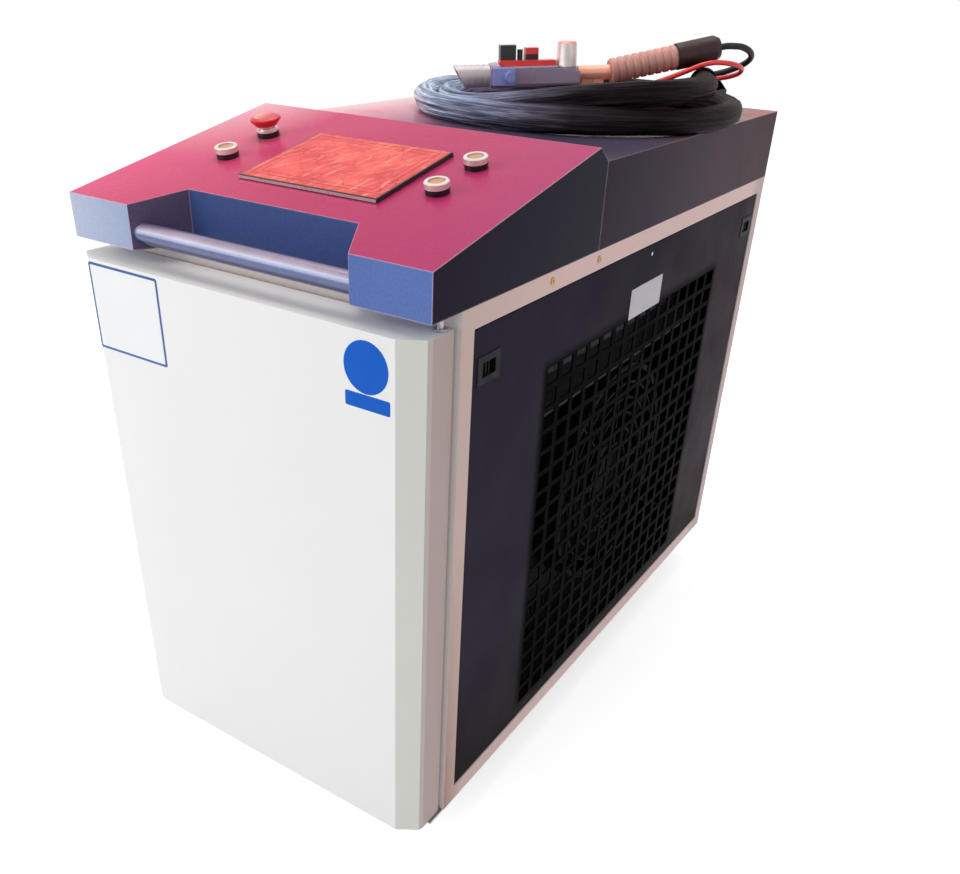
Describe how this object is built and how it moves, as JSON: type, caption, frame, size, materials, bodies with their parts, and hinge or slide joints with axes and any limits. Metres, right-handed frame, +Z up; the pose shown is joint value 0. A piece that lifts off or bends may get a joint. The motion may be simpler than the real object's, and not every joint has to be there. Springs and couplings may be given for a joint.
{
  "type": "laser cleaning machine",
  "caption": "Wheeled laser cleaning cabinet with a sloping touch-screen console, grilled side panels, a front door and a hand gun lying in its coiled supply hose.",
  "frame": {"origin": "on the floor, below the middle of the machine", "axes": "+X to the right of someone facing the door, +Y from the door to the back, +Z up"},
  "size_m": [0.5331, 1.014, 0.9792],
  "materials": {
    "painted_steel_light": "satin powder coat, warm off-white",
    "door_white": "satin powder coat, white",
    "console_navy": "gloss powder coat, navy",
    "panel_navy": "satin powder coat, dark navy",
    "galvanised": "zinc-plated sheet",
    "caster_steel": "zinc-plated steel",
    "wheel_rubber": "matte",
    "black_plastic": "matte black",
    "screen_plastic": "dark glass front in a grey bezel",
    "button_ring": "polished ring",
    "button_cap": "tan translucent cap",
    "stop_red": "gloss red",
    "stop_collar": "turned",
    "brass": "turned",
    "pin_steel": "turned",
    "magnet_plate": "dark nickel",
    "alu_source": "anodised, finned",
    "alu_fins": "pressed fins",
    "compressor_black": "painted black",
    "tank_white": "moulded, milky",
    "pump_blue": "painted blue",
    "copper_pipe": "copper",
    "units_grey": "moulded cases",
    "hose_sleeve": "braided sleeve, dark",
    "gun_lead_dark": "smooth, dark",
    "tube_red": "polyurethane tube, red",
    "gun_brown": "anodised, grey-brown",
    "gun_salmon": "satin, salmon-grey",
    "gun_copper": "anodised, copper",
    "gun_ribbed": "ribbed grip, brown",
    "gun_nozzle_metal": "anodised, lilac-grey",
    "drawer_blue": "anodised, blue"
  },
  "bodies": {
    "cabinet": {"base_pan": "galvanised", "cabinet_frame": "painted_steel_light", "rear_panel": "panel_navy", "console_shell": "console_navy", "handle_bar": "console_navy", "rear_cover": "console_navy", "screen_unit": "screen_plastic", "button_collars": "button_ring", "stop_base": "stop_collar", "hinge_pins": "pin_steel", "door_catches": "magnet_plate", "cover_screws": "brass", "caster_bases": "caster_steel", "partition": "galvanised", "inner_deck": "galvanised", "laser_source": "alu_source", "condenser": "alu_fins", "fan_ring": "black_plastic", "compressor": "compressor_black", "water_tank": "tank_white", "water_pump": "pump_blue", "coolant_pipes": "copper_pipe", "electrical_units": "units_grey", "rear_fittings": "brass", "cable_outlet": "black_plastic", "hose_coil": "hose_sleeve", "umbilical_cuff": "black_plastic", "gun_lead": "gun_lead_dark", "red_tube": "tube_red", "gun_body": "gun_brown", "gun_motor_cover": "gun_salmon", "gun_fittings": "tube_red", "gun_tube": "gun_copper", "gun_grip": "gun_ribbed", "gun_nozzle": "gun_nozzle_metal", "gun_boot": "black_plastic"},
    "door": {"front_door": "door_white"},
    "stop_stem": {"stop_stem": "black_plastic"},
    "stop_head": {"stop_head": "stop_red"},
    "button_left": {"button_left": "button_cap"},
    "button_front": {"button_front": "button_cap"},
    "button_rear": {"button_rear": "button_cap"},
    "panel_right": {"side_panel_right": "panel_navy", "latch_frames_right": "black_plastic"},
    "panel_left": {"side_panel_left": "panel_navy", "latch_frames_left": "black_plastic"},
    "slide_right_front": {"latch_slide_right_front": "black_plastic"},
    "slide_right_rear": {"latch_slide_right_rear": "black_plastic"},
    "slide_left_front": {"latch_slide_left_front": "black_plastic"},
    "slide_left_rear": {"latch_slide_left_rear": "black_plastic"},
    "fork_right": {"caster_fork_right": "caster_steel"},
    "fork_left": {"caster_fork_left": "caster_steel"},
    "wheel_front_right": {"wheel_front_right": "wheel_rubber"},
    "wheel_front_left": {"wheel_front_left": "wheel_rubber"},
    "wheel_rear_right": {"wheel_rear_right": "wheel_rubber"},
    "wheel_rear_left": {"wheel_rear_left": "wheel_rubber"},
    "fan": {"fan_rotor": "black_plastic"},
    "breaker_toggle": {"breaker_toggle": "black_plastic"},
    "gun_trigger": {"gun_trigger": "black_plastic"},
    "lens_drawer": {"lens_drawer": "drawer_blue"}
  },
  "joints": [
    {"name": "door_swing", "type": "hinge", "parent": "cabinet", "child": "door", "pos_m": [0.24, -0.458, 0.412], "axis": [0, 0, 1], "range_deg": [0, 95]},
    {"name": "stop_press", "type": "slide", "parent": "cabinet", "child": "stop_stem", "axis": [0, 0.2041, -0.979], "range_m": [0, 0.004]},
    {"name": "stop_twist", "type": "hinge", "parent": "stop_stem", "child": "stop_head", "pos_m": [-0.156, -0.264, 0.86295], "axis": [0, -0.2041, 0.979], "range_deg": [0, 45], "stiffness_Nm_per_rad": 0.05, "springref_deg": -5.73},
    {"name": "press_left", "type": "slide", "parent": "cabinet", "child": "button_left", "axis": [0, 0.2041, -0.979], "range_m": [0, 0.0025], "stiffness_N_per_m": 400, "springref_m": -0.001},
    {"name": "press_front", "type": "slide", "parent": "cabinet", "child": "button_front", "axis": [0, 0.2041, -0.979], "range_m": [0, 0.0025], "stiffness_N_per_m": 400, "springref_m": -0.001},
    {"name": "press_rear", "type": "slide", "parent": "cabinet", "child": "button_rear", "axis": [0, 0.2041, -0.979], "range_m": [0, 0.0025], "stiffness_N_per_m": 400, "springref_m": -0.001},
    {"name": "panel_right_tilt", "type": "hinge", "parent": "cabinet", "child": "panel_right", "pos_m": [0.252, 0.0325, 0.1013], "axis": [0, 1, 0], "range_deg": [0, 30]},
    {"name": "panel_left_tilt", "type": "hinge", "parent": "cabinet", "child": "panel_left", "pos_m": [-0.252, 0.0325, 0.1013], "axis": [0, -1, 0], "range_deg": [0, 30]},
    {"name": "latch_right_front", "type": "slide", "parent": "panel_right", "child": "slide_right_front", "axis": [0, 1, 0], "range_m": [0, 0.007], "stiffness_N_per_m": 200, "springref_m": -0.002},
    {"name": "latch_right_rear", "type": "slide", "parent": "panel_right", "child": "slide_right_rear", "axis": [0, -1, 0], "range_m": [0, 0.007], "stiffness_N_per_m": 200, "springref_m": -0.002},
    {"name": "latch_left_front", "type": "slide", "parent": "panel_left", "child": "slide_left_front", "axis": [0, 1, 0], "range_m": [0, 0.007], "stiffness_N_per_m": 200, "springref_m": -0.002},
    {"name": "latch_left_rear", "type": "slide", "parent": "panel_left", "child": "slide_left_rear", "axis": [0, -1, 0], "range_m": [0, 0.007], "stiffness_N_per_m": 200, "springref_m": -0.002},
    {"name": "fan_spin", "type": "hinge", "parent": "cabinet", "child": "fan", "pos_m": [0.21, 0.0365, 0.385], "axis": [1, 0, 0], "continuous": true},
    {"name": "swivel_right", "type": "hinge", "parent": "cabinet", "child": "fork_right", "pos_m": [0.15, -0.33, 0.0652], "axis": [0, 0, 1], "continuous": true},
    {"name": "roll_front_right", "type": "hinge", "parent": "fork_right", "child": "wheel_front_right", "pos_m": [0.15, -0.35, 0.025], "axis": [1, 0, 0], "continuous": true},
    {"name": "roll_rear_right", "type": "hinge", "parent": "cabinet", "child": "wheel_rear_right", "pos_m": [0.15, 0.37, 0.025], "axis": [1, 0, 0], "continuous": true},
    {"name": "swivel_left", "type": "hinge", "parent": "cabinet", "child": "fork_left", "pos_m": [-0.15, -0.33, 0.0652], "axis": [0, 0, 1], "continuous": true},
    {"name": "roll_front_left", "type": "hinge", "parent": "fork_left", "child": "wheel_front_left", "pos_m": [-0.15, -0.35, 0.025], "axis": [1, 0, 0], "continuous": true},
    {"name": "roll_rear_left", "type": "hinge", "parent": "cabinet", "child": "wheel_rear_left", "pos_m": [-0.15, 0.37, 0.025], "axis": [1, 0, 0], "continuous": true},
    {"name": "breaker_swing", "type": "hinge", "parent": "cabinet", "child": "breaker_toggle", "pos_m": [-0.1325, -0.347, 0.635], "axis": [-1, 0, 0], "range_deg": [0, 64]},
    {"name": "trigger_pull", "type": "slide", "parent": "cabinet", "child": "gun_trigger", "axis": [-0.0338, -0.0302, 0.999], "range_m": [0, 0.004], "stiffness_N_per_m": 300, "springref_m": -0.002},
    {"name": "lens_drawer_slide", "type": "slide", "parent": "cabinet", "child": "lens_drawer", "axis": [0.6665, -0.7455, 0], "range_m": [0, 0.024]}
  ]
}
